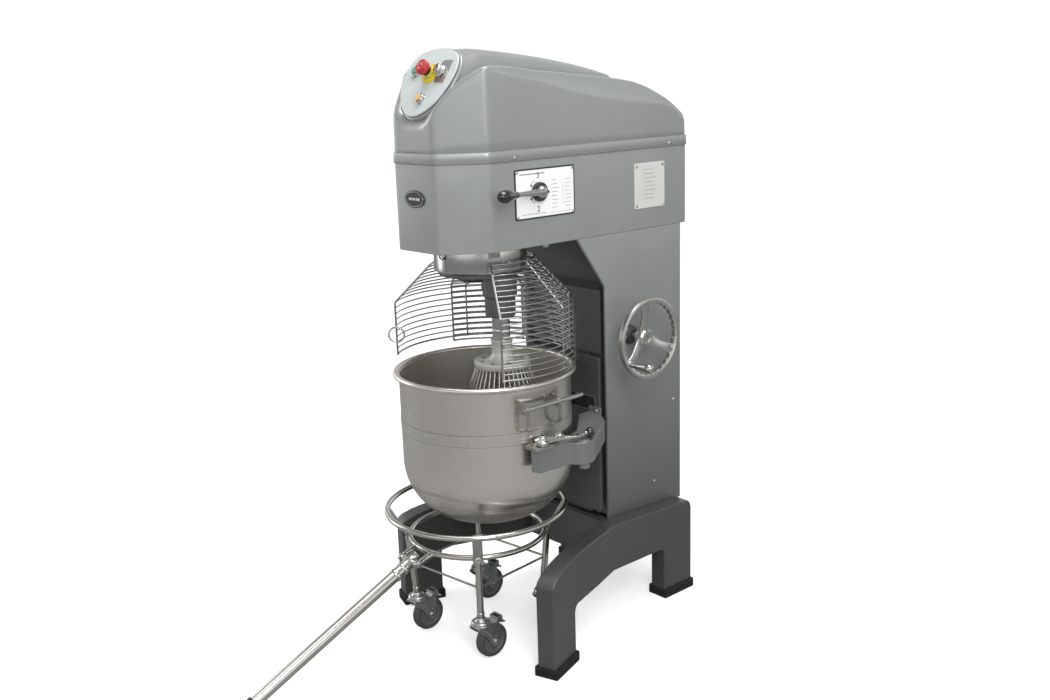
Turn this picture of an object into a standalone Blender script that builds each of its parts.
"""Commercial planetary stand mixer with lifting bowl, wire bowl guard and bowl dolly.

Drawn in millimetres in a design frame whose origin is on the floor under the
mixing axis: +X is the handwheel side (right), -Y is the front, +Z is up.  The
finished pieces are in metres, moved in y so that the origin is the centre of
the footprint.
"""
import math

import bmesh
import bpy
import numpy as np
from mathutils import Matrix, Vector

MM = 0.001
FOOTPRINT_CENTRE_Y = -103.77

# Dimensions shared between sections; the others head their own section.
GAP = 0.3                  # clearance between neighbouring pieces
SHEET = 5.0                # housing wall
BODY_HALF_W = 180.0        # head and column
COLUMN_FRONT, COLUMN_REAR, COLUMN_BOTTOM = 317.0, 647.0, 287.0
HEAD_BOTTOM, HEAD_TOP = 1171.5, 1404.7
HEAD_FRONT, HEAD_REAR = -213.0, 674.3
LEVER_Y, LEVER_Z = 62.0, 1319.0
SCREW_Y = 357.0
CLAMP_X, CLAMP_Y = 278.0, -36.0               # bowl clamp pin
DRUM_R = 130.0
PLANET_OFFSET = 80.0
SHAFT_R, SHAFT_BOTTOM = 25.0, 876.0
WHEEL_C = (270.3, 402.0, 866.7)               # handwheel centre
X_AXIS = (1, 0, 0)

# name: (base colour, metallic, roughness)
LOOKS = {
    "paint": ((0.33, 0.35, 0.345), 0.35, 0.42),
    "dark": ((0.075, 0.077, 0.078), 0.2, 0.5),
    "steel": ((0.62, 0.61, 0.59), 1.0, 0.3),
    "chrome": ((0.75, 0.75, 0.75), 1.0, 0.15),
    "alu": ((0.72, 0.72, 0.71), 1.0, 0.3),
    "zinc": ((0.55, 0.58, 0.58), 1.0, 0.4),
    "rubber": ((0.02, 0.02, 0.02), 0.0, 0.8),
    "tyre": ((0.12, 0.12, 0.12), 0.0, 0.7),
    "black": ((0.02, 0.02, 0.02), 0.0, 0.35),
    "panel": ((0.72, 0.77, 0.77), 0.0, 0.4),
    "red": ((0.55, 0.03, 0.03), 0.0, 0.3),
    "green": ((0.15, 0.45, 0.32), 0.0, 0.3),
    "amber": ((0.85, 0.6, 0.25), 0.0, 0.3),
    "yellow": ((0.8, 0.68, 0.05), 0.0, 0.4),
    "white": ((0.8, 0.8, 0.78), 0.0, 0.5),
    "iron": ((0.25, 0.25, 0.26), 0.6, 0.5),
}

for item in list(bpy.data.objects):
    bpy.data.objects.remove(item, do_unlink=True)


# ------------------------------------------------------- pieces and materials
def material(name, colour, metallic, roughness):
    mat = bpy.data.materials.new(name)
    mat.use_nodes = True
    inputs = mat.node_tree.nodes["Principled BSDF"].inputs
    inputs["Base Color"].default_value = (*colour, 1.0)
    inputs["Metallic"].default_value = metallic
    inputs["Roughness"].default_value = roughness
    mat.diffuse_color = (*colour, 1.0)
    return mat


def to_world(point):
    return Vector((point[0] * MM, (point[1] - FOOTPRINT_CENTRE_Y) * MM, point[2] * MM))


def piece(name, mesh, look, origin=(0, 0, 0), sharp_deg=32):
    """The finished piece, with a material of its own and its origin at a design point."""
    world_origin = to_world(origin)
    for vertex in mesh.vertices:
        vertex.co = to_world(vertex.co) - world_origin
    ob = bpy.data.objects.new(name, mesh)
    mesh.name = name
    mesh.materials.clear()
    mesh.materials.append(material(name, *LOOKS[look]))
    ob.location = world_origin
    bpy.context.scene.collection.objects.link(ob)
    mesh.polygons.foreach_set("use_smooth", [True] * len(mesh.polygons))
    mesh.set_sharp_from_angle(angle=math.radians(sharp_deg))
    mesh.update()
    return ob


def pair(stem, mesh, look, origin=(0, 0, 0)):
    """The right-hand piece and its mirror image; the copy comes first, as piece() moves mesh."""
    x, y, z = origin
    return (piece(stem + "_left", mirrored(mesh), look, (-x, y, z)),
            piece(stem + "_right", mesh, look, origin))


# ------------------------------------------------------------- mesh operations
def new_mesh(verts, faces):
    mesh = bpy.data.meshes.new("raw")
    mesh.from_pydata([tuple(map(float, v)) for v in verts], [],
                     [tuple(map(int, f)) for f in faces])
    mesh.update()
    return mesh


def outward(mesh):
    """The mesh with its faces turned outwards."""
    bm = bmesh.new()
    bm.from_mesh(mesh)
    bmesh.ops.recalc_face_normals(bm, faces=bm.faces)
    if bm.calc_volume(signed=True) < 0:
        bmesh.ops.reverse_faces(bm, faces=bm.faces)
    bm.to_mesh(mesh)
    bm.free()
    return mesh


def temporary(mesh):
    ob = bpy.data.objects.new("temp", mesh)
    bpy.context.scene.collection.objects.link(ob)
    return ob


def boolean(base, others, operation):
    """A mesh of base combined with each of others in turn."""
    ob = temporary(base)
    helpers = []
    for mesh in others:
        helper = temporary(mesh)
        helpers.append(helper)
        mod = ob.modifiers.new("b", "BOOLEAN")
        mod.operation = operation
        mod.solver = "EXACT"
        mod.object = helper
    bpy.context.view_layer.update()
    graph = bpy.context.evaluated_depsgraph_get()
    result = bpy.data.meshes.new_from_object(ob.evaluated_get(graph))
    for helper in [ob] + helpers:
        bpy.data.objects.remove(helper, do_unlink=True)
    return result


def union(base, *others):
    return boolean(base, others, "UNION")


def cut(base, *cutters):
    return boolean(base, cutters, "DIFFERENCE")


def common(base, other):
    return boolean(base, [other], "INTERSECT")


def shift(x, y, z):
    return Matrix.Translation((x, y, z))


def turn(angle, axis="Z"):
    return Matrix.Rotation(angle, 4, axis)


def moved(mesh, matrix):
    mesh.transform(matrix)
    if matrix.determinant() < 0:
        mesh.flip_normals()
    return mesh


def mirrored(mesh):
    return moved(mesh.copy(), Matrix.Diagonal((-1, 1, 1, 1)))


# ---------------------------------------------------------------- basic shapes
def box(x0, x1, y0, y1, z0, z1):
    verts = [(x, y, z) for x in (x0, x1) for y in (y0, y1) for z in (z0, z1)]
    faces = [(0, 1, 3, 2), (4, 6, 7, 5), (0, 4, 5, 1), (2, 3, 7, 6), (0, 2, 6, 4), (1, 5, 7, 3)]
    return new_mesh(verts, faces)


def prism(outline, low, high, axis="z"):
    """Outline extruded along axis. z: its points are (x, y); x: (y, z); y: (x, z)."""
    n = len(outline)
    place = {"z": lambda a, b, c: (a, b, c),
             "x": lambda a, b, c: (c, a, b),
             "y": lambda a, b, c: (a, c, b)}[axis]
    verts = [place(a, b, end) for end in (low, high) for a, b in outline]
    faces = [tuple(range(n))[::-1], tuple(range(n, 2 * n))]
    faces += [(i, (i + 1) % n, n + (i + 1) % n, n + i) for i in range(n)]
    return outward(new_mesh(verts, faces))


def rounded(outline, radii, steps):
    """Outline with its corners rounded, one radius per corner."""
    n = len(outline)
    points = []
    for i, radius in enumerate(radii):
        corner, before, after = (Vector(outline[k]) for k in (i, i - 1, (i + 1) % n))
        back = (before - corner).normalized()
        ahead = (after - corner).normalized()
        half = back.angle(ahead) / 2
        run = radius / math.tan(half)
        centre = corner + (back + ahead).normalized() * (radius / math.sin(half))
        start = corner + back * run - centre
        sweep = start.angle_signed(corner + ahead * run - centre)
        for k in range(steps + 1):
            spoke = start.copy()
            spoke.rotate(Matrix.Rotation(-sweep * k / steps, 2))
            points.append(tuple(centre + spoke))
    return points


def lathe(profile, sides, origin=(0, 0, 0), axis=(0, 0, 1), closed=False):
    """Profile [(radius, height)] turned about axis; closed joins its last point to its first.

    Open ends that are off the axis are capped.
    """
    verts, rows = [], []
    for radius, height in profile:
        if radius < 1e-6:
            rows.append([len(verts)] * sides)
            verts.append((0, 0, height))
        else:
            rows.append([len(verts) + k for k in range(sides)])
            verts += [(radius * math.cos(2 * math.pi * k / sides),
                       radius * math.sin(2 * math.pi * k / sides), height)
                      for k in range(sides)]
    faces = []
    steps = list(zip(rows, rows[1:])) + ([(rows[-1], rows[0])] if closed else [])
    for low, high in steps:
        for k in range(sides):
            after = (k + 1) % sides
            quad = [low[k], low[after], high[after], high[k]]
            face = [v for i, v in enumerate(quad) if v != quad[i - 1]]
            if len(face) > 2:
                faces.append(face)
    if not closed:
        if rows[0][0] != rows[0][1]:
            faces.append(rows[0][::-1])
        if rows[-1][0] != rows[-1][1]:
            faces.append(rows[-1])
    tilt = Vector((0, 0, 1)).rotation_difference(Vector(axis).normalized())
    return moved(outward(new_mesh(verts, faces)), shift(*origin) @ tilt.to_matrix().to_4x4())


def rod(radius, start, end, sides=24):
    start, end = Vector(start), Vector(end)
    return lathe([(radius, 0), (radius, (end - start).length)], sides, start, end - start)


def post(radius, x, y, z0, z1, sides=24):
    """A rod along z."""
    return rod(radius, (x, y, z0), (x, y, z1), sides)


def x_rod(radius, y, z, x0, x1, sides=24):
    """A rod along x."""
    return rod(radius, (x0, y, z), (x1, y, z), sides)


def torus(ring_r, tube_r, centre, sides, tube_sides, phase=0.0):
    angles = [2 * math.pi * i / tube_sides + phase for i in range(tube_sides)]
    section = [(ring_r + tube_r * math.cos(a), tube_r * math.sin(a)) for a in angles]
    return lathe(section, sides, centre, closed=True)


def loft_faces(rings, n):
    """Quads between successive rings of n vertices."""
    return [(i * n + k, i * n + (k + 1) % n, (i + 1) * n + (k + 1) % n, (i + 1) * n + k)
            for i in range(rings - 1) for k in range(n)]


def lattice(profile, normals, columns, solid, thick, wrap=False):
    """An open-work shell.

    profile: (r, z) of each row edge; normals: (r, z) across the shell there;
    columns[k]: angles of the column edges at row edge k;
    solid(row, column): whether that cell holds metal.
    """
    verts, index, faces = [], {}, []
    row_count, edge_count = len(profile) - 1, len(columns[0])
    column_count = edge_count if wrap else edge_count - 1

    def vert(k, j, side):
        key = (k, j % edge_count, side)
        if key not in index:
            (r, z), (normal_r, normal_z) = profile[k], normals[k]
            angle = columns[k][j % edge_count]
            r += normal_r * thick / 2 * side
            index[key] = len(verts)
            verts.append((r * math.sin(angle), -r * math.cos(angle),
                          z + normal_z * thick / 2 * side))
        return index[key]

    def full(k, j):
        if wrap:
            j %= column_count
        return 0 <= k < row_count and 0 <= j < column_count and solid(k, j)

    for k in range(row_count):
        for j in range(column_count):
            if not full(k, j):
                continue
            out = [vert(k, j, 1), vert(k, j + 1, 1), vert(k + 1, j + 1, 1), vert(k + 1, j, 1)]
            back = [vert(k, j, -1), vert(k + 1, j, -1),
                    vert(k + 1, j + 1, -1), vert(k, j + 1, -1)]
            faces += [out, back]
            if not full(k - 1, j):
                faces.append([back[0], back[3], out[1], out[0]])
            if not full(k + 1, j):
                faces.append([out[3], out[2], back[2], back[1]])
            if not full(k, j - 1):
                faces.append([out[0], out[3], back[1], back[0]])
            if not full(k, j + 1):
                faces.append([back[3], back[2], out[2], out[1]])
    return outward(new_mesh(verts, faces))


# ------------------------------------------------------------------------ base
LEG_BEND_Y, LEG_SPLAY = 280.0, math.radians(18.37)
LEG_CENTRE, LEG_HALF_T = 211.5, 28.5
LEG_TOP, LEG_UNDER, LEG_BOTTOM = 311.0, 166.0, 10.6
LEG_REAR_SPAN = (500, 629)            # y of the rear end that stands in its foot
LEG_FRONT_SPAN = (272.6, 398.4)       # the same in front, as distance from the bend
FOOT_H, FOOT_HALF_W, FOOT_HALF_L = 28.4, 36.0, 67.9
FOOT_FLOOR = 10.2
FRAME_WALL = 8

# side view of the part behind the bend: (y, z)
LEG_REAR = [
    (LEG_REAR_SPAN[1], LEG_BOTTOM), (LEG_REAR_SPAN[1], 284), (618, 298), (600, 304),
    (LEG_BEND_Y, LEG_TOP), (LEG_BEND_Y, LEG_UNDER), (488, LEG_UNDER),
    (LEG_REAR_SPAN[0], LEG_UNDER - 12), (LEG_REAR_SPAN[0], LEG_BOTTOM),
]
# side view of the splayed part: (distance forward of the bend, z)
LEG_FRONT = [
    (0, LEG_UNDER), (0, LEG_TOP), (150, 316), (250, 314), (330, 304), (380, 290),
    (LEG_FRONT_SPAN[1], 280), (LEG_FRONT_SPAN[1], LEG_BOTTOM),
    (LEG_FRONT_SPAN[0], LEG_BOTTOM), (LEG_FRONT_SPAN[0], LEG_UNDER - 14), (258, LEG_UNDER),
]


def rear_leg_point(y, z, side):
    """A point of the rear part, side millimetres outward of the leg's middle plane."""
    if y == LEG_BEND_Y:
        # the mitre at the bend keeps both faces flat
        y -= side * math.tan(LEG_SPLAY / 2)
    return LEG_CENTRE + side, y, z


def front_leg_point(run, z, side):
    if run == 0:
        return rear_leg_point(LEG_BEND_Y, z, side)
    sine, cosine = math.sin(LEG_SPLAY), math.cos(LEG_SPLAY)
    return (LEG_CENTRE + run * sine + side * cosine,
            LEG_BEND_Y - run * cosine + side * sine, z)


def leg_mesh():
    verts, faces, index = [], [], {}

    def vert(point):
        if point not in index:
            index[point] = len(verts)
            verts.append(point)
        return index[point]

    for place, outline, bend in ((rear_leg_point, LEG_REAR, LEG_BEND_Y),
                                 (front_leg_point, LEG_FRONT, 0)):
        inner = [vert(place(a, z, -LEG_HALF_T)) for a, z in outline]
        outer = [vert(place(a, z, LEG_HALF_T)) for a, z in outline]
        faces += [inner, outer[::-1]]
        for i in range(len(outline)):
            j = (i + 1) % len(outline)
            # the two parts are open to each other at the bend
            if not outline[i][0] == outline[j][0] == bend:
                faces.append([inner[i], outer[i], outer[j], inner[j]])
    return outward(new_mesh(verts, faces))


def base_legs():
    for ob in pair("base_leg", leg_mesh(), "dark"):
        mod = ob.modifiers.new("bevel", "BEVEL")
        mod.width = 9 * MM
        mod.segments = 2
        mod.limit_method = "ANGLE"
        mod.angle_limit = math.radians(25)


def foot_mesh(x, y, angle):
    pocket_half_w = LEG_HALF_T + GAP
    pocket_half_l = (LEG_REAR_SPAN[1] - LEG_REAR_SPAN[0]) / 2 + GAP
    block = box(-FOOT_HALF_W, FOOT_HALF_W, -FOOT_HALF_L, FOOT_HALF_L, 0, FOOT_H)
    pocket = box(-pocket_half_w, pocket_half_w, -pocket_half_l, pocket_half_l,
                 FOOT_FLOOR, FOOT_H + 5)
    return moved(cut(block, pocket), shift(x, y, 0) @ turn(angle))


def feet():
    x, y, _ = front_leg_point(sum(LEG_FRONT_SPAN) / 2, 0, 0)
    pair("foot_front", foot_mesh(x, y, LEG_SPLAY), "rubber")
    pair("foot_rear", foot_mesh(LEG_CENTRE, sum(LEG_REAR_SPAN) / 2, 0), "rubber")


def base_cross_frame():
    """Box between the legs, open underneath."""
    half_w, front, rear = BODY_HALF_W, COLUMN_FRONT, 625
    inner_half_w = half_w - FRAME_WALL
    frame = cut(box(-half_w, half_w, front, rear, 156, 286.6),
                box(-inner_half_w, inner_half_w, front + FRAME_WALL, rear - FRAME_WALL, 140, 278))
    piece("base_cross_frame", frame, "dark")


# ------------------------------------------------------------- column and lift
COLUMN_TOP_FRONT, COLUMN_BEND_Z = 208.5, 1018.0
RECESS_DEPTH_Y = 345          # back wall of the recess in the column front
RAIL_Z = (300, 990)
CARRIAGE_HALF_W, CARRIAGE_Z = 157.0, (325.0, 806.0)
SCREW_R = 13

# bowl arm seen from above: (x, y)
ARM = [
    (118, 302.6), (118, 252), (150, 226), (232, 137), (259, 60), (264, 20), (264, -70),
    (292, -56), (296, 35), (318, 60), (332, 84), (329, 106), (300, 150), (222, 262),
    (157, 302.6),
]


def column():
    half_w, top = BODY_HALF_W, HEAD_BOTTOM - GAP
    # side views, (y, z)
    side = [(COLUMN_FRONT, COLUMN_BOTTOM), (COLUMN_FRONT, COLUMN_BEND_Z),
            (COLUMN_TOP_FRONT, top), (COLUMN_REAR, top), (COLUMN_REAR, COLUMN_BOTTOM)]
    hollow = [(350, COLUMN_BOTTOM + 6), (350, 1010), (262, HEAD_BOTTOM + 9),
              (COLUMN_REAR + 5, HEAD_BOTTOM + 9), (COLUMN_REAR + 5, COLUMN_BOTTOM + 6)]
    recess = [(COLUMN_FRONT - 9, COLUMN_BOTTOM - 5), (COLUMN_FRONT - 9, COLUMN_BEND_Z - 10),
              (COLUMN_TOP_FRONT - 9, HEAD_BOTTOM + 9), (COLUMN_TOP_FRONT + 30, HEAD_BOTTOM + 9),
              (RECESS_DEPTH_Y, 1012), (RECESS_DEPTH_Y, COLUMN_BOTTOM - 5)]
    shell = cut(prism(side, -half_w, half_w, "x"),
                prism(hollow, -half_w + SHEET, half_w - SHEET, "x"),
                prism(recess, -half_w + 12, half_w - 12, "x"),
                x_rod(12.3, WHEEL_C[1], WHEEL_C[2], 100, 200),
                box(-22, 22, 338, 356, 300, 1000))
    piece("column", shell, "paint")


def column_back_panel():
    half_w = BODY_HALF_W - SHEET - GAP
    panel = box(-half_w, half_w, COLUMN_REAR - 5, COLUMN_REAR - 1.5,
                COLUMN_BOTTOM + 8, HEAD_BOTTOM - 4)
    piece("column_back_panel", panel, "paint")


def slideway():
    """Rail on the recess wall, slotted for the lift screw's nut."""
    rail = union(box(-120, 120, 338, 344.7, *RAIL_Z), box(-96, 96, 330, 340, *RAIL_Z))
    slot = box(-24, 24, 320, 350, RAIL_Z[0] + 12, RAIL_Z[1] - 12)
    piece("slideway", cut(rail, slot), "iron")


def lift_carriage():
    """Plate with two windows, gibs that grip the slideway, and the nut."""
    plate = cut(box(-CARRIAGE_HALF_W, CARRIAGE_HALF_W, 303, 314, *CARRIAGE_Z),
                *[box(*xs, 290, 330, 641, 684) for xs in ((28, 142), (-142, -28))])
    gibs = [box(*xs, 312, 337.5, 430, 790) for xs in ((96.6, 136), (-136, -96.6))]
    nut = cut(box(-21, 21, 312, 372, 560, 610), post(SCREW_R + 0.4, 0, SCREW_Y, 550, 620))
    piece("lift_carriage", union(plate, *gibs, nut), "dark")


def lift_screw():
    screw = lathe([(SCREW_R, 313), (SCREW_R, 976)], 24, (0, SCREW_Y, 0))
    collar = post(20, 0, SCREW_Y, 852, 838)
    piece("lift_screw", union(screw, collar), "steel", (0, SCREW_Y, 302))


def bowl_arms():
    arm = union(prism(ARM, 576, 640), post(7, CLAMP_X, CLAMP_Y, 636, 676, 16),
                post(15, 312, 88, 560, 643, 20))
    pair("bowl_arm", arm, "dark")


# ------------------------------------------------------------------------ bowl
BOWL_R, BOWL_WALL = 246.5, 2.2
BOWL_RIM_Z, BOWL_RIM_R, RIM_BEAD_R = 818.2, 262.5, 8.0
# the wall meets a corner arc, which meets a wide base arc centred on the axis
BOWL_CORNER_Z, BOWL_CORNER_R, BOWL_BASE_R = 553.75, 180.3, 497.5
BAND_Z, BAND_T = (651.2, 682.6), 2
EYE_R = 7.4                   # holes on the clamp pin


def bowl_outer_profile():
    """Outer surface from the band down to the axis, (r, z)."""
    corner_r = BOWL_R - BOWL_CORNER_R
    rise = math.sqrt((BOWL_BASE_R - BOWL_CORNER_R) ** 2 - corner_r ** 2)
    base_z = BOWL_CORNER_Z + rise
    meet = math.atan2(rise, corner_r)
    points = [(BOWL_R, BAND_Z[0]), (BOWL_R, BOWL_CORNER_Z)]
    points += [(corner_r + BOWL_CORNER_R * math.cos(t),
                BOWL_CORNER_Z - BOWL_CORNER_R * math.sin(t))
               for t in np.linspace(0, meet, 6)[1:]]
    points += [(BOWL_BASE_R * math.cos(t), base_z - BOWL_BASE_R * math.sin(t))
               for t in np.linspace(meet, math.pi / 2, 3)[1:]]
    points[-1] = (0.0, points[-1][1])
    return points


def bowl_inner_profile(outer):
    """The outer profile set in by the wall."""
    inner = []
    for i, (r, z) in enumerate(outer[:-1]):
        before, after = outer[max(i - 1, 0)], outer[i + 1]
        along = Vector((after[0] - before[0], after[1] - before[1])).normalized()
        inner.append((r + along[1] * BOWL_WALL, z - along[0] * BOWL_WALL))
    return inner + [(0.0, outer[-1][1] + BOWL_WALL)]


def bowl_lug():
    """Ear at the bowl's side with a hole for the clamp pin."""
    return cut(box(240, 300, -72, 28, 640.4, 650), post(EYE_R, CLAMP_X, CLAMP_Y, 630, 660, 16),
               lathe([(BOWL_R - 1.2, 600), (BOWL_R - 1.2, 700)], 32))


def bowl():
    outer = bowl_outer_profile()
    rim_r, rim_z = BOWL_RIM_R - RIM_BEAD_R, BOWL_RIM_Z - RIM_BEAD_R
    bead = [(rim_r + RIM_BEAD_R * math.cos(t), rim_z + RIM_BEAD_R * math.sin(t))
            for t in np.radians([120, 60, 0, 300, 225])]
    profile = bowl_inner_profile(outer)[::-1] + [(BOWL_R - BOWL_WALL, rim_z + 2)] + bead
    profile += [(BOWL_R, rim_z - 7), (BOWL_R, BAND_Z[1] + 1),
                (BOWL_R + BAND_T, BAND_Z[1]), (BOWL_R + BAND_T, BAND_Z[0])]
    lug = bowl_lug()
    piece("bowl", union(lathe(profile + outer, 32), lug, mirrored(lug)), "steel")


def bowl_handles():
    """A plate curved to the wall, two brackets with their lower outer corner cut off, a grip."""
    corner = [(266, 680), (300, 680), (300, 745)]
    brackets = [cut(box(x, 283, y, y + 6, 692, 767), prism(corner, -120, 120, "y"))
                for x, y in ((233.4, -91), (247.4, 27))]
    grip = rod(6.5, (278, -98, 760), (278, 117, 760), 12)
    inside, outside = (lathe([(BOWL_R + gap, 600), (BOWL_R + gap, 900)], 32)
                       for gap in (0.5, 4.5))
    blank = prism([(262, -92), (262, 62), (240, 62), (240, -92)], 690, 792)
    wall_plate = common(cut(blank, inside), outside)
    pair("bowl_handle", union(wall_plate, *brackets, grip), "steel")


def bowl_clamps():
    """A levered eye on the arm's pin, and its ball knob."""
    origin = (CLAMP_X, CLAMP_Y, 652)
    eye = lathe([(20, 650.4), (20, 660), (12, 664), (12, 672), (EYE_R, 672), (EYE_R, 650.4)],
                20, (CLAMP_X, CLAMP_Y, 0), closed=True)
    bar = prism([(272, -20), (284, -20), (313, 84), (303, 90)], 652, 660)
    pair("bowl_clamp", union(eye, bar, rod(5, (307, 84, 656), (309, 104, 657), 12)),
         "chrome", origin)

    radius, bands = 14.4, 7
    arc = [math.pi * i / bands for i in range(bands + 1)]
    ball = lathe([(radius * math.sin(t), -radius * math.cos(t)) for t in arc],
                 12, (310.5, 112, 658))
    knob = cut(ball, rod(5.3, (307, 80, 655.8), (309.2, 105.4, 657.1), 12))
    pair("bowl_clamp_knob", knob, "black", origin)


# --------------------------------------------------------- head and its cover
HEAD_NOSE_HALF, HEAD_CHAMFER_Y = 86.6, -102.3
COVER_FLANGE_TOP = 1433.0
COVER_ROWS = (0.0, 0.035, 0.1, 0.22, 0.4, 1.0)    # top rings, edge (0) to centre line (1)

# height of the cover along its length: (y, z)
RIDGE = [
    (-213.0, 1540.0), (-102, 1648), (-50, 1651), (103, 1635), (310, 1617), (472, 1598),
    (557, 1563), (623, 1526), (674, 1488),
]
SHOULDER = [
    (-213.0, 1534.0), (-102, 1640), (-54, 1630), (102, 1602), (231, 1571), (308, 1558),
    (471, 1538), (623, 1518), (674, 1478),
]
# side view of the space under the cover: (y, z)
COVER_HOLLOW = [
    (-206, 1390), (-206, 1478), (-100, 1556), (-50, 1584), (70, 1586), (231, 1556),
    (308, 1544), (471, 1524), (560, 1508), (620, 1488), (667, 1462), (667, 1390),
]

# the control panel's egg outline: (x, distance up the slope), right half then left
EGG = [
    (0, 3), (30, 9), (62, 31), (83, 58), (98, 98), (102, 127), (99, 155), (88, 179),
    (72, 192), (38, 204), (0, 210),
]
EGG += [(-x, s) for x, s in EGG[-2:0:-1]]
EGG_CENTRE, EGG_WIDEST, EGG_HALF_W = 107, 127, 102.0
# fairing behind the panel: (y, half width, top z, bottom z)
HOOD_STATIONS = [
    (-28.0, 84, 1697, 1622), (64, 66, 1690, 1621), (180, 54, 1676.5, 1611),
    (300, 42, 1659, 1602), (410, 27, 1640, 1590), (500, 11, 1613, 1580),
]
# place of each control on the panel: (x, distance up the slope)
CONTROLS = {"start": (-66, 138), "stop": (0, 131), "inch": (8, 54), "timer": (43, 136)}

# panel plane: its low end, up-slope direction and outward normal
PANEL_LOW, PANEL_HIGH = Vector((0, -211.0, 1524.0)), Vector((0, -93.0, 1700.0))
PANEL_UP = (PANEL_HIGH - PANEL_LOW).normalized()
PANEL_OUT = Vector(X_AXIS).cross(PANEL_UP)
TO_PANEL = Matrix(((1, 0, PANEL_OUT[0], PANEL_LOW[0]), (0, PANEL_UP[1], PANEL_OUT[1], PANEL_LOW[1]),
                   (0, PANEL_UP[2], PANEL_OUT[2], PANEL_LOW[2]), (0, 0, 0, 1)))


def head_outline(inset=0.0):
    """The head from above, (x, y), with a chamfered nose."""
    half_w, nose = BODY_HALF_W - inset, HEAD_NOSE_HALF - 0.4 * inset
    front, rear = HEAD_FRONT + inset, HEAD_REAR - inset
    chamfer = HEAD_CHAMFER_Y + 0.4 * inset
    corners = [(-nose, front), (nose, front), (half_w, chamfer),
               (half_w, rear), (-half_w, rear), (-half_w, chamfer)]
    return rounded(corners, [24, 24, 24, 16, 16, 24], 3)


def head_housing():
    """Open-topped tub with openings for the drive, the column and the speed lever."""
    bottom = (HEAD_BOTTOM - 20, HEAD_BOTTOM + 30)
    tub = cut(prism(head_outline(), HEAD_BOTTOM, HEAD_TOP),
              prism(head_outline(SHEET), HEAD_BOTTOM + 8, HEAD_TOP + 10),
              post(62, 0, 0, *bottom, 32),
              box(-110, 110, 380, 600, *bottom),
              x_rod(11.3, LEVER_Y, LEVER_Z, 100, 220))
    piece("head_housing", tub, "paint")


def clamp01(value):
    return min(max(value, 0.0), 1.0)


def height_at(table, y):
    return float(np.interp(y, [a for a, _ in table], [b for _, b in table]))


def nose_dip(x):
    """Depth of the hollow across the middle of the nose."""
    return 34.0 * max(0.0, 1 - (x / 95.0) ** 2)


def cover_height(x, y, inward):
    """Height of the cover's top; inward runs from its edge (0) to the centre line (1)."""
    ridge = height_at(RIDGE, y)
    # sloping plane at the front, with a raised lip round its edge
    plane = 1528.0 + 0.70 * (y - HEAD_FRONT) - nose_dip(x) * clamp01((-95.0 - y) / 80.0)
    floor = min(plane, ridge) if y < 60 else ridge
    lip = max(0.0, ridge - floor)
    if y < -120:
        lip *= clamp01((abs(x) - 78.0) / 26.0)
    t = clamp01((inward - 0.10) / 0.25)
    lip *= 1 - t * t * (3 - 2 * t)
    # slight crown, fading out to the front and rear
    crown = 7.0 * min(inward, 0.9) * (1 - math.exp(-max(y + 60, 0) / 120))
    return floor + lip + crown * clamp01((674 - y) / 174)


def drawn_in(x, y, inset, keep=1.0):
    """The point drawn towards the cover's centre line, by inset and then to the share keep."""
    centre = Vector((0, min(max(y, -60.0), 520.0)))
    spoke = Vector((x, y)) - centre
    return centre + spoke * ((1 - inset / max(spoke.length, 1)) * keep)


def cover_outline():
    """The head outline, slightly larger, with its long sides divided."""
    corners = head_outline(-0.6)
    points = []
    for i, a in enumerate(corners):
        b = corners[(i + 1) % len(corners)]
        n = max(1, round((Vector(b) - Vector(a)).length / 75))
        points += [(a[0] + (b[0] - a[0]) * k / n, a[1] + (b[1] - a[1]) * k / n)
                   for k in range(n)]
    return points


def cover_rings(outline):
    rings = []
    for inset, z in ((-2.4, HEAD_TOP + GAP), (-2.4, COVER_FLANGE_TOP),
                     (0.6, COVER_FLANGE_TOP + 1.5)):
        rings.append([(*drawn_in(x, y, inset), z) for x, y in outline])
    rings.append([(x, y, height_at(SHOULDER, y) - nose_dip(x) * (y < -150))
                  for x, y in (drawn_in(*point, 1.5) for point in outline)])
    for inward in COVER_ROWS:
        # the two outermost rings are lowered to round the edge
        drop = 5 if inward == 0 else 1.2 if inward < 0.05 else 0
        rings.append([(x, y, cover_height(x, y, inward) - drop)
                      for x, y in (drawn_in(*point, 9, 1 - inward) for point in outline)])
    return rings


def cover_mesh():
    outline = cover_outline()
    rings = cover_rings(outline)
    n = len(outline)
    mesh = new_mesh([point for ring in rings for point in ring],
                    loft_faces(len(rings), n) + [tuple(range(n))[::-1]])
    bm = bmesh.new()
    bm.from_mesh(mesh)
    # the innermost ring lies folded on the centre line, so it is merged
    bmesh.ops.remove_doubles(bm, verts=bm.verts, dist=0.05)
    bmesh.ops.holes_fill(bm, edges=bm.edges)
    bmesh.ops.triangulate(bm, faces=bm.faces)
    bmesh.ops.dissolve_degenerate(bm, dist=0.02, edges=bm.edges)
    bm.to_mesh(mesh)
    bm.free()
    half_w = BODY_HALF_W + 20
    hollow = common(prism(head_outline(SHEET + 3.5), 1380, 1720),
                    prism(COVER_HOLLOW, -half_w, half_w, "x"))
    return cut(outward(mesh), hollow)


def on_panel(x, up, out=0.0):
    return PANEL_LOW + Vector((x, 0, 0)) + PANEL_UP * up + PANEL_OUT * out


def panel_rod(control, low, high, radius):
    """A rod square to the panel at a control's place."""
    place = CONTROLS[control]
    return rod(radius, on_panel(*place, low), on_panel(*place, high), 16)


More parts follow.
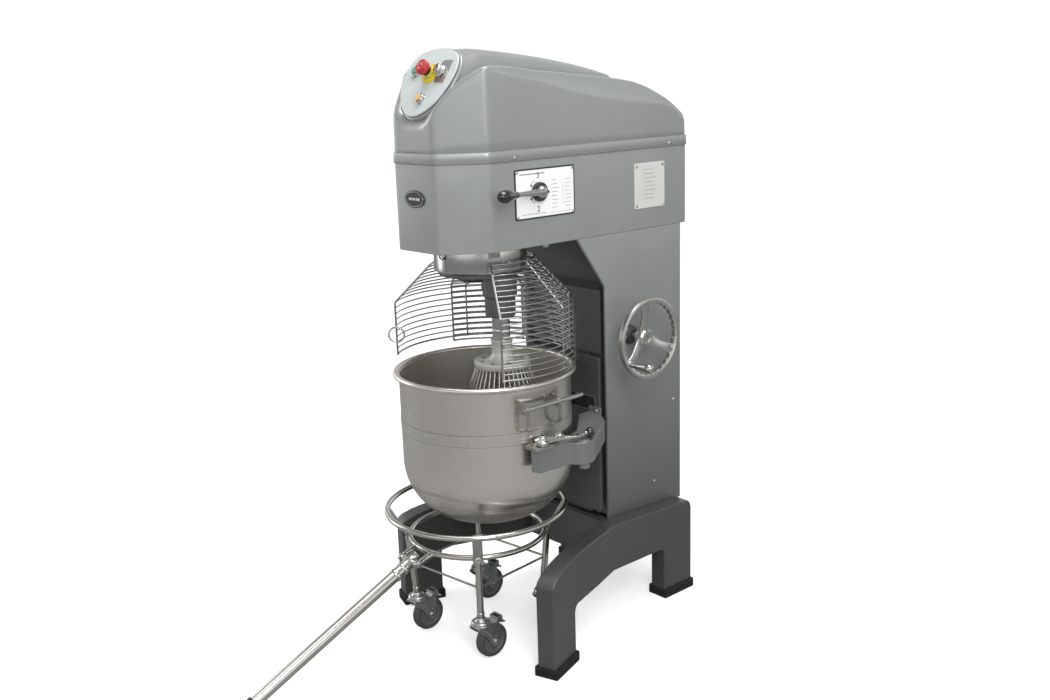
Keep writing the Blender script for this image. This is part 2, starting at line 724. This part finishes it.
def hood_ring(y, half_w, top, low):
    """Cross-section of the fairing with a point for each point of the egg."""
    ring = []
    mid = top - 0.62 * half_w
    for x, s in EGG:
        across = x / EGG_HALF_W
        if s > EGG_WIDEST:
            t = (s - EGG_WIDEST) / 83.0
            z = mid + (top - mid) * math.sqrt(max(0.0, 1 - (1 - t) ** 2)) ** 0.9
            ring.append(Vector((half_w * math.copysign(abs(across) ** 0.8, across), y, z)))
        else:
            t = (EGG_WIDEST - s) / 124.0
            ring.append(Vector((half_w * (1.12 * across), y, mid + (low - mid) * t)))
    return ring


def hood_mesh():
    n = len(EGG)
    # (scale, distance out of the panel plane) of the rings round the panel
    rings = [[on_panel(x * scale, EGG_CENTRE + (s - EGG_CENTRE) * scale, out) for x, s in EGG]
             for scale, out in ((1.035, 0.0), (1.05, -3.0), (1.05, -16.0))]
    rings += [hood_ring(*station) for station in HOOD_STATIONS]
    caps = [list(range(n))[::-1], [(len(rings) - 1) * n + k for k in range(n)]]
    return outward(new_mesh([point for ring in rings for point in ring],
                            caps + loft_faces(len(rings), n)))


def head_cover():
    holes = [panel_rod(name, -16, 6, radius) for name, radius in
             (("start", 12.6), ("stop", 12.6), ("inch", 12.6), ("timer", 5.0))]
    cover = union(cover_mesh(), cut(hood_mesh(), *holes))
    piece("head_cover", cover, "paint", sharp_deg=28)


# -------------------------------------------------------------------- controls
# turned controls: (piece, control, look, profile of (r, distance out of the panel))
TURNED_CONTROLS = [
    ("start_button", "start", "green",
     [(0, -12), (11, -12), (11, 14), (9.5, 15.5), (0, 15.5)]),
    ("inching_button", "inch", "amber",
     [(0, -12), (11, -12), (11, 17), (9.5, 18.5), (0, 18.5)]),
    ("stop_collar", "stop", "yellow",
     [(30, 4.7), (30, 7), (15.5, 7.6), (15.5, 16), (11.4, 16), (11.4, 4.7)]),
    ("stop_button", "stop", "red",
     [(0, -12), (11, -12), (11, 21), (14, 22), (18.5, 26), (20, 32), (20, 40), (18.5, 43),
      (12, 45), (0, 45.5)]),
    ("timer_knob", "timer", "alu",
     [(0, -6), (4.6, -6), (4.6, 7.6), (17.5, 7.6), (17.5, 10), (12, 13), (11, 24), (9, 26),
      (0, 26)]),
]
BEZEL = [(15, 3), (15, 10), (13.5, 12), (11.4, 12), (11.4, 3)]        # (r, out)
LEVER_ROOT = Vector((191, LEVER_Y, LEVER_Z))
LEVER_TIP = Vector((222, -50, LEVER_Z + 3))
LEVER_ORIGIN = (183, LEVER_Y, LEVER_Z)


def at_control(mesh, control):
    return moved(mesh, TO_PANEL @ shift(*CONTROLS[control], 0))


def control_panel():
    face = moved(prism(EGG, 0, 4), TO_PANEL @ shift(0, 0, 0.4))
    face = cut(face, *[panel_rod(name, -6, 9, radius) for name, radius in
                       (("start", 12.0), ("inch", 12.0), ("stop", 12.6), ("timer", 5.0))])
    bezels = [at_control(lathe(BEZEL, 16, closed=True), name) for name in ("start", "inch")]
    piece("control_panel", union(face, *bezels), "panel")


def turned_controls():
    for name, control, look, profile in TURNED_CONTROLS:
        piece(name, at_control(lathe(profile, 16), control), look,
              on_panel(*CONTROLS[control]))


def timer_plate():
    outline = rounded([(31.5, -32), (31.5, 34), (-30, 34), (-12, -32)], [2] * 4, 2)
    plate = cut(prism(outline, 4.7, 7.2), post(5.2, 0, 0, 0, 12, 20))
    # cleared round the stop collar
    plate = cut(at_control(plate, "timer"), panel_rod("stop", 0, 12, 30.4))
    piece("timer_plate", plate, "alu")


def badge():
    """Oval on the nose: a unit disc stretched to its half width and half height."""
    disc = lathe([(0, 0), (1.0, 0), (1.0, 3), (0.92, 4), (0, 4)], 24)
    place = shift(0, HEAD_FRONT - GAP, 1314) @ turn(math.radians(90), "X")
    piece("badge", moved(disc, place @ Matrix.Diagonal((43, 23, 1, 1))), "black")


def side_plate(y0, y1, z0, z1, corner_r, thick_to):
    """Rounded plate on the right side of the head."""
    outline = rounded([(y0, z0), (y1, z0), (y1, z1), (y0, z1)], [corner_r] * 4, 2)
    return prism(outline, BODY_HALF_W + GAP, BODY_HALF_W + thick_to, "x")


def head_plates():
    speed = cut(side_plate(-21, 198, 1247, 1382, 5, 2.3), x_rod(13, LEVER_Y, LEVER_Z, 170, 190))
    piece("speed_plate", speed, "white")
    piece("data_plate", side_plate(440, 570, 1232, 1364, 4, 2.0), "alu")


def speed_lever():
    hub = lathe([(0, 120), (10.8, 120), (10.8, 183.2), (25, 183.2), (25, 196), (20, 201),
                 (0, 201)], 24, (0, LEVER_Y, LEVER_Z), X_AXIS)
    piece("speed_lever", union(hub, rod(6, LEVER_ROOT, LEVER_TIP, 12)), "chrome", LEVER_ORIGIN)


def speed_lever_knob():
    along = (LEVER_TIP - LEVER_ROOT).normalized()
    grip = lathe([(0, 0), (8.6, 2), (10.4, 16), (15, 36), (17.2, 50), (15.2, 63), (9, 71),
                  (0, 74)], 14, LEVER_TIP - along * 4, along)
    bore = rod(6.3, LEVER_ROOT, LEVER_TIP + along * 0.3, 12)
    piece("speed_lever_knob", cut(grip, bore), "black", LEVER_ORIGIN)


# --------------------------------------------------------- drive and planetary
DRUM_BOTTOM = 1101.0
SPINDLE_R = SHAFT_R * 0.52            # thin upper part of the beater shaft
SHOULDER_Z = 1065                     # where the shaft's bore narrows
MOTOR_Y = 500.0
PULLEY_BOTTOM, PULLEY_TOP = 1204, 1238
WHISK_WIRES, WHISK_WIRE = 12, 3.6

# one whisk wire from the hub down to the tip: (r, z)
WHISK = [
    (72.0, 848.0), (76, 830), (104, 762), (132, 682), (149, 575), (140, 482), (104, 427),
    (55, 400), (14, 394), (5, 393.8),
]
# whisk dish with its hub: (r, z)
WHISK_DISH = [
    (0, 840), (66, 832), (79, 832), (79, 850), (72, 852), (50, 846.5), (31, 851), (29, 856),
    (29, 900), (31, 903), (31, 909), (25.4, 909), (25.4, 875.6), (0, 875.6),
]


def planetary_drum():
    profile = [(DRUM_R, DRUM_BOTTOM + 4), (DRUM_R, HEAD_BOTTOM - GAP), (64, HEAD_BOTTOM - GAP),
               (64, 1160), (119, 1160), (119, DRUM_BOTTOM), (126, DRUM_BOTTOM)]
    drum = cut(lathe(profile, 36, closed=True), rod(7, (72, -124, 1152), (60, -96, 1152), 12))
    piece("planetary_drum", drum, "alu")


def gear_outline(teeth, root, tip, phase):
    half = math.pi / teeth * 0.40
    points = []
    for k in range(teeth):
        centre = 2 * math.pi * k / teeth + phase
        for offset, r in ((-half * 1.25, root), (-half * 0.6, tip),
                          (half * 0.6, tip), (half * 1.25, root)):
            points.append((r * math.cos(centre + offset), r * math.sin(centre + offset)))
    return points


def planetary_gears():
    teeth = 25
    ring = cut(lathe([(118.2, 1120), (118.2, 1142)], teeth),
               prism(gear_outline(teeth, 105.5, 96.5, math.pi / teeth), 1110, 1150))
    piece("ring_gear", ring, "iron")
    pinion = prism(gear_outline(5, 14.6, 23.5, 0.0), 1119.4, 1142.6)
    piece("planet_pinion", moved(pinion, shift(PLANET_OFFSET, 0, 0)), "iron",
          (PLANET_OFFSET, 0, 1119))


def planet_carrier():
    """Disc, bearing block on the planet axis and an off-centre boss, bored for the shaft."""
    disc = lathe([(0, 1086), (117, 1086), (117, 1101), (112, 1104.5), (26, 1104.5),
                  (26, 1119), (0, 1119)], 28)
    block = lathe([(0, 975), (38, 975), (43, 979), (43, 1030), (48, 1034), (48, 1093.1),
                   (0, 1093.1)], 20)
    boss = lathe([(0, 1062), (44, 1062), (52, 1070), (52, 1090.7), (0, 1090.7)], 16)
    # the small turns keep their facets off those of the disc
    carrier = union(disc, moved(block, shift(PLANET_OFFSET, 0, 0) @ turn(0.06)),
                    moved(boss, shift(-32, 3, 0) @ turn(0.1)))
    wide, narrow = SHAFT_R + 0.45, SPINDLE_R + 0.35
    bore = lathe([(0, 960), (wide, 960), (wide, SHOULDER_Z), (narrow, SHOULDER_Z),
                  (narrow, 1130), (0, 1130)], 24, (PLANET_OFFSET, 0, 0))
    piece("planet_carrier", cut(carrier, bore), "iron", (0, 0, 1086))


def beater_shaft():
    step = SHOULDER_Z - 0.4
    shaft = lathe([(0, SHAFT_BOTTOM), (SHAFT_R, SHAFT_BOTTOM), (SHAFT_R, step),
                   (SPINDLE_R, step), (SPINDLE_R, 1119.1), (0, 1119.1)],
                  24, (PLANET_OFFSET, 0, 0))
    piece("beater_shaft", shaft, "chrome", (PLANET_OFFSET, 0, SHAFT_BOTTOM))


def whisk_cage():
    """A balloon of wires, joined all round in the top row and at the tip."""
    normals = []
    for i in range(len(WHISK)):
        before, after = WHISK[max(i - 1, 0)], WHISK[min(i + 1, len(WHISK) - 1)]
        along = Vector((after[0] - before[0], after[1] - before[1])).normalized()
        normals.append((-along[1], along[0]))
    last = len(WHISK) - 2
    half_pitch = math.pi / WHISK_WIRES * 0.5
    columns = []
    for k, (r, _) in enumerate(WHISK):
        half = half_pitch if k >= last else min(WHISK_WIRE / 2 / r, half_pitch)
        columns.append([2 * math.pi * wire / WHISK_WIRES + side * half
                        for wire in range(WHISK_WIRES) for side in (-1, 1)])
    return lattice(WHISK, normals, columns, lambda k, j: j % 2 == 0 or k in (0, last),
                   WHISK_WIRE, wrap=True)


def whisk():
    axis = (PLANET_OFFSET, 0, 0)
    tip = lathe([(0, 388), (12, 390), (14, 397), (0, 399)], 12, axis)
    whole = union(moved(whisk_cage(), shift(*axis)), lathe(WHISK_DISH, 24, axis), tip)
    piece("whisk", whole, "steel", (PLANET_OFFSET, 0, SHAFT_BOTTOM))


def motor():
    """Motor hung in the column from its plate, with a box on its right side."""
    body = lathe([(0, 850), (60, 850), (74, 862), (82, 866), (82, 1120), (86, 1120),
                  (86, 1134), (0, 1134)], 22, (0, MOTOR_Y, 0))
    half_w = BODY_HALF_W - SHEET - 1
    plate = box(-half_w, half_w, MOTOR_Y - 96, MOTOR_Y + 96, 1124, 1134)
    side_box = box(80, 118, MOTOR_Y - 40, MOTOR_Y + 40, 960, 1050)
    bore = post(14.2, 0, MOTOR_Y, 1060, 1150)
    piece("motor", cut(union(body, plate, side_box), bore), "iron")


def pulley_rim(radius):
    """Rim profile with the belt groove, (r, z)."""
    groove = radius - 8
    return [(radius, PULLEY_BOTTOM), (radius, 1208), (groove, 1214), (groove, 1228),
            (radius, 1234), (radius, PULLEY_TOP)]


def pulleys():
    driven = [(0, 1119.3), (22, 1119.3), (22, PULLEY_BOTTOM), *pulley_rim(110),
              (30, PULLEY_TOP), (30, 1262), (0, 1262)]
    piece("driven_pulley", lathe(driven, 28), "iron", (0, 0, PULLEY_BOTTOM))
    driving = [(0, 1062), (14, 1062), (14, PULLEY_BOTTOM), *pulley_rim(46), (0, PULLEY_TOP)]
    piece("motor_pulley", lathe(driving, 24, (0, MOTOR_Y, 0)), "iron",
          (0, MOTOR_Y, PULLEY_BOTTOM))


def belt_outline(driven_r, motor_r, steps):
    wrap = math.acos((driven_r - motor_r) / MOTOR_Y)
    points = [(driven_r * math.cos(t), driven_r * math.sin(t))
              for t in np.linspace(wrap, 2 * math.pi - wrap, steps)]
    points += [(motor_r * math.cos(t) + MOTOR_Y, motor_r * math.sin(t))
               for t in np.linspace(-wrap, wrap, steps)]
    return [(-y, x) for x, y in points]


def drive_belt():
    belt = cut(prism(belt_outline(112, 48, 14), 1215, 1227),
               prism(belt_outline(103, 39, 20), 1205, 1237))
    piece("drive_belt", belt, "rubber")


# ---------------------------------------------------------------------- guards
GUARD_WIRE, BAR_DEG = 4.6, 1.3
WIRE_STEP_DEG = 20.0                  # facet length of the curved wires
# (r, z) down the cage; its angles are from the front, counter-clockwise from above
GUARD_BOTTOM_Z, GATE_BOTTOM_Z = 838.0, 854.0
GUARD_TOP_R, GATE_R = 152.0, 250.0
GUARD_LINE = [(GUARD_TOP_R, 1131.0), (264.0, 1010.0), (264.0, GUARD_BOTTOM_Z)]
GUARD_FROM, GUARD_TO = 61.0, 251.0
GATE_LINE = [(143.0, 1113.0), (GATE_R, 1006.0), (GATE_R, GATE_BOTTOM_Z)]
GATE_FROM, GATE_TO = 147.0, 314.0


def point_along(line, distance):
    """Point and unit direction at a distance along a polyline."""
    for a, b in zip(line, line[1:]):
        a, b = Vector(a), Vector(b)
        length = (b - a).length
        if distance <= length + 1e-6:
            return a + (b - a) * (distance / length), (b - a) / length
        distance -= length


def guard_mesh(line, wires, bars):
    """Wire cage of a number of level wires and uprights at the angles bars."""
    lengths = [(Vector(b) - Vector(a)).length for a, b in zip(line, line[1:])]
    pitch = (sum(lengths) - GUARD_WIRE) / (wires - 1)
    knee = lengths[0]
    edges, row_solid = [], []
    for i in range(wires):
        start = i * pitch
        if edges:
            row_solid.append(False)
            # the uprights bend at the knee, so a gap across it is split there
            if edges[-1] + 1 < knee < start - 1:
                edges.append(knee)
                row_solid.append(False)
        edges += [start, start + GUARD_WIRE]
        row_solid.append(True)
    profile, normals = [], []
    for distance in edges:
        point, along = point_along(line, distance)
        profile.append(tuple(point))
        normals.append((-along[1], along[0]))

    marks = []
    for bar in bars:
        marks += [(bar - BAR_DEG / 2, True), (bar + BAR_DEG / 2, False)]
    angles, column_solid = [marks[0][0]], []
    for (a, is_bar), (b, _) in zip(marks, marks[1:]):
        n = 1 if is_bar else max(1, round((b - a) / WIRE_STEP_DEG))
        for i in range(n):
            angles.append(a + (b - a) * (i + 1) / n)
            column_solid.append(is_bar)
    columns = [[math.radians(a) for a in angles]] * len(profile)
    return lattice(profile, normals, columns,
                   lambda k, j: row_solid[k] or column_solid[j], GUARD_WIRE)


def guard_rear():
    """Fixed cage with two tabs to the drum."""
    tab_bars = (108, 203)
    cage = guard_mesh(GUARD_LINE, 11, [GUARD_FROM + 0.5, 108, 155, 203, GUARD_TO - 0.5])
    tabs = [moved(box(-7, 7, -GUARD_TOP_R - 1, -DRUM_R - 0.4, 1124.5, 1130.5),
                  turn(math.radians(angle))) for angle in tab_bars]
    piece("guard_rear", union(cage, *tabs), "steel", (0, 0, GUARD_BOTTOM_Z))


def guard_gate():
    """Inner cage with a wire loop on its last upright."""
    last_bar = GATE_TO - 0.5
    cage = guard_mesh(GATE_LINE, 9, [GATE_FROM + 0.5, 200, 242, last_bar])
    loop = moved(torus(22, 2.6, (0, 0, 0), 18, 6),
                 turn(math.radians(last_bar)) @ shift(0, -GATE_R + 14, 912)
                 @ turn(math.radians(90), "Y"))
    piece("guard_gate", union(cage, loop), "steel", (0, 0, GATE_BOTTOM_Z))


# ------------------------------------------------------------------- handwheel
HUB_X, HUB_Y, HUB_Z = WHEEL_C
WHEEL_R = 121.4
CRANK_DEG = 217
SPOKE_DEGS = (100, -27, CRANK_DEG)            # about x, from +Y
CRANK_Y = HUB_Y + (WHEEL_R - 17) * math.cos(math.radians(CRANK_DEG))
CRANK_Z = HUB_Z + (WHEEL_R - 17) * math.sin(math.radians(CRANK_DEG))
# (r, x from the wheel centre)
WHEEL_RIM = [
    (WHEEL_R - 15, -6), (WHEEL_R - 11, -9.6), (WHEEL_R - 4, -9.6), (WHEEL_R, -5),
    (WHEEL_R, 5), (WHEEL_R - 4, 9.6), (WHEEL_R - 11, 9.6), (WHEEL_R - 15, 6),
]
WHEEL_HUB = [(0, -44), (19, -44), (24, -34), (24, -8), (17, -4), (0, -4)]
SPOKE = [(14, -30), (40, -26), (WHEEL_R - 12, -5), (WHEEL_R - 12, 5), (44, -12), (14, -14)]


def spoke_mesh(angle):
    c, s = math.cos(angle), math.sin(angle)
    place = Matrix(((0, 0, 1, HUB_X), (c, -s, 0, HUB_Y), (s, c, 0, HUB_Z), (0, 0, 0, 1)))
    return moved(prism(SPOKE, -10, 10, "y"), place)


def handwheel():
    wheel = union(lathe(WHEEL_RIM, 26, WHEEL_C, X_AXIS, closed=True),
                  lathe(WHEEL_HUB, 24, WHEEL_C, X_AXIS),
                  *[spoke_mesh(math.radians(a)) for a in SPOKE_DEGS],
                  x_rod(11, CRANK_Y, CRANK_Z, HUB_X - 8, HUB_X + 10, 16),
                  x_rod(5, CRANK_Y, CRANK_Z, HUB_X + 8, HUB_X + 78, 16))
    bore = x_rod(11, HUB_Y, HUB_Z, 200, HUB_X - 22)
    piece("handwheel", cut(wheel, bore), "alu", WHEEL_C)


def crank_handle():
    origin = (HUB_X, CRANK_Y, CRANK_Z)
    grip = lathe([(0, 80), (5.1, 80), (5.1, 11), (9, 11), (8, 20), (12.5, 60), (13, 78),
                  (10, 86), (0, 87)], 16, origin, X_AXIS)
    piece("crank_handle", grip, "chrome", origin)


def handwheel_shaft():
    """Axle with a cone at its inner end and a collar on the column side."""
    end, wall = HUB_X - 22.5, BODY_HALF_W + 0.6
    profiles = [
        [(0, 50), (10.7, 50), (10.7, end), (0, end)],
        [(0, 33), (13, 33), (24, 45), (24, 56), (0, 56)],
        [(0, wall), (30, wall), (26, 205), (18, 210), (0, 210)],
    ]
    shaft = union(*[lathe(profile, 16, (0, HUB_Y, HUB_Z), X_AXIS) for profile in profiles])
    piece("handwheel_shaft", shaft, "steel", WHEEL_C)


# ----------------------------------------------------------------------- dolly
DOLLY_X, DOLLY_Y = -17.0, -39.0
UPPER_RING_R, UPPER_RING_Z, LOWER_RING_R, LOWER_RING_Z = 261.3, 401.0, 198.0, 317.0
RING_TUBE_R = 8.0
CASTER_R, CASTER_ANGLES = 189.0, (-39.0, 51.0, 141.0, 231.0)
CASTER_TRAIL, CASTER_WHEEL_R, CASTER_PLATE_Z = 36.0, 50.0, 120.0
DOLLY_LEG_LOW, DOLLY_LEG_TOP = (CASTER_R + 0.5, 133.8), (206.0, 312)      # (r, z)
BRACE_Z = 225
HANDLE_PIN = Vector((DOLLY_X, -286.0, 296.0))
HANDLE_HOLE_Z = HANDLE_PIN.z + 4
HANDLE_SLOPE = math.atan(0.44)
HANDLE_TUBE_R, HANDLE_COLLAR_R, HANDLE_L = 17.35, 19.5, 645.68


def polar(r, degrees, z=0.0):
    """A point about the dolly's axis."""
    angle = math.radians(degrees)
    return Vector((DOLLY_X + r * math.cos(angle), DOLLY_Y + r * math.sin(angle), z))


def dolly_frame():
    """Two rings on four legs with straps and braces, and lugs with the handle's pin."""
    parts = [torus(UPPER_RING_R, RING_TUBE_R, (DOLLY_X, DOLLY_Y, UPPER_RING_Z), 28, 6,
                   math.pi / 6),
             torus(LOWER_RING_R, RING_TUBE_R, (DOLLY_X, DOLLY_Y, LOWER_RING_Z), 24, 6,
                   math.pi / 6)]
    strap = [(199.8, 310.3), (204.2, 307.7), (259.2, 400.7), (254.8, 403.3)]    # (r, z)
    (low_r, low_z), (top_r, top_z) = DOLLY_LEG_LOW, DOLLY_LEG_TOP
    for angle in CASTER_ANGLES:
        parts.append(rod(9.5, polar(low_r, angle, low_z), polar(top_r, angle, top_z), 8))
        parts.append(moved(prism(strap, -15, 15, "y"),
                           shift(DOLLY_X, DOLLY_Y, 0) @ turn(math.radians(angle))))
    brace_r = low_r + (top_r - low_r) * (BRACE_Z - low_z) / (top_z - low_z)
    for a, b in zip(CASTER_ANGLES, CASTER_ANGLES[1:] + CASTER_ANGLES[:1]):
        parts.append(rod(3.2, polar(brace_r, a, BRACE_Z), polar(brace_r, b, BRACE_Z), 6))
    for x in (DOLLY_X - 38, DOLLY_X + 38):
        parts.append(box(x - 4, x + 4, -300, -228, LOWER_RING_Z - 27, LOWER_RING_Z + 7))
    parts.append(x_rod(5.5, HANDLE_PIN.y, HANDLE_HOLE_Z, DOLLY_X - 44, DOLLY_X + 44, 16))
    piece("dolly_frame", union(*parts), "chrome", (DOLLY_X, DOLLY_Y, 0))


def dolly_handle():
    """Tube sloping down to the front, with a collar near each end."""
    along = Vector((0, -math.cos(HANDLE_SLOPE), -math.sin(HANDLE_SLOPE)))
    end = HANDLE_PIN + along * HANDLE_L
    tube = union(rod(HANDLE_TUBE_R, HANDLE_PIN - along * 28, end, 20),
                 rod(HANDLE_COLLAR_R, HANDLE_PIN + along * 26, HANDLE_PIN + along * 42, 20),
                 rod(HANDLE_COLLAR_R, end - along * 8, end, 20))
    hole = x_rod(5.62, HANDLE_PIN.y, HANDLE_HOLE_Z, DOLLY_X - 60, DOLLY_X + 60, 16)
    piece("dolly_handle", cut(tube, hole), "chrome", (DOLLY_X, HANDLE_PIN.y, HANDLE_HOLE_Z))


def caster_fork(x, y, axle_y):
    """Swivel head, two cheeks, axle and a pedal over the back of the wheel."""
    axle_z = CASTER_WHEEL_R
    head = lathe([(0, 106), (27, 106), (28, 118), (21, 124.5), (11, 125.5), (11, 131.2),
                  (0, 131.2)], 12, (x, y, 0))
    cheek = [(y - 24, 107), (y + 26, 107), (axle_y + 16, axle_z + 36),
             (axle_y + 12, axle_z - 11), (axle_y - 12, axle_z - 11), (y - 17, axle_z + 40)]
    cheeks = [prism(cheek, x + x0, x + x1, "x") for x0, x1 in ((-21.5, -18), (18, 21.5))]
    axle = x_rod(6, axle_y, axle_z, x - 24.5, x + 24.5, 18)
    tread = [(axle_y + 16, 101), (axle_y + 50, 90), (axle_y + 52, 94.5), (axle_y + 16, 106)]
    pedal = union(prism(tread, x - 15, x + 15, "x"),
                  box(x - 21.5, x + 21.5, y + 12, axle_y + 18, 102.4, 107))
    return union(head, *cheeks, axle, pedal)


def casters():
    # wheel section: (r, x from its middle)
    tyre = CASTER_WHEEL_R
    section = [(6.12, -17.2), (15, -17.2), (17, -12), (tyre - 4, -14.5), (tyre, -9),
               (tyre, 9), (tyre - 4, 14.5), (17, 12), (15, 17.2), (6.12, 17.2)]
    for number, angle in enumerate(CASTER_ANGLES, 1):
        x, y, _ = polar(CASTER_R, angle)
        axle_y = y + CASTER_TRAIL
        piece(f"caster_fork_{number}", caster_fork(x, y, axle_y), "zinc",
              (x, y, CASTER_PLATE_Z))
        centre = (x, axle_y, CASTER_WHEEL_R)
        piece(f"caster_wheel_{number}", lathe(section, 18, centre, X_AXIS, closed=True),
              "tyre", centre)


BUILDERS = (
    base_legs, feet, base_cross_frame,
    column, column_back_panel, slideway, lift_carriage, lift_screw, bowl_arms,
    bowl, bowl_handles, bowl_clamps,
    head_housing, head_cover, control_panel, turned_controls, timer_plate,
    badge, head_plates, speed_lever, speed_lever_knob,
    planetary_drum, planetary_gears, planet_carrier, beater_shaft, whisk,
    motor, pulleys, drive_belt, guard_rear, guard_gate,
    handwheel, crank_handle, handwheel_shaft,
    dolly_frame, dolly_handle, casters,
)
for build in BUILDERS:
    build()
